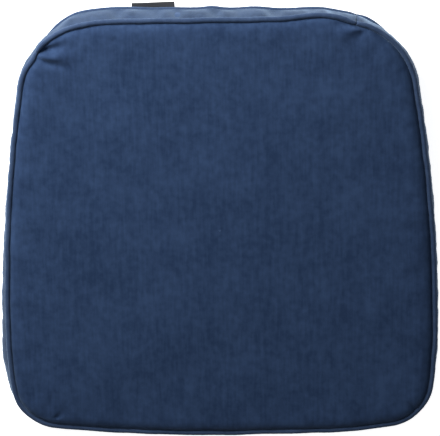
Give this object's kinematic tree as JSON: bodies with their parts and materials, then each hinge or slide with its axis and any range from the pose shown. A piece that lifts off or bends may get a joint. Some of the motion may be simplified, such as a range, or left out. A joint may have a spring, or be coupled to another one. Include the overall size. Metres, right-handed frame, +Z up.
{
  "type": "outdoor seat cushion",
  "caption": "Box-edged outdoor seat cushion in navy velvet, a rounded trapezium with piped edges, lying on its bottom panel.",
  "frame": {"origin": "on the surface it rests on, under the middle of the whole cushion, tab included", "axes": "+Z up through the thickness, +Y towards the narrower back edge, +X to the right with the back edge away"},
  "size_m": [0.483, 0.484, 0.053],
  "materials": {
    "velvet": "navy short-pile velvet with a soft sheen",
    "woven_tab": "black satin-woven tape"
  },
  "bodies": {
    "root": {"top_panel_filled": "velvet", "bottom_panel": "velvet", "side_strip_front": "velvet", "side_strip_back": "velvet", "piping_top_front": "velvet", "piping_top_back": "velvet", "piping_bottom_front": "velvet", "piping_bottom_back": "velvet", "label_tab": "woven_tab"}
  },
  "joints": []
}
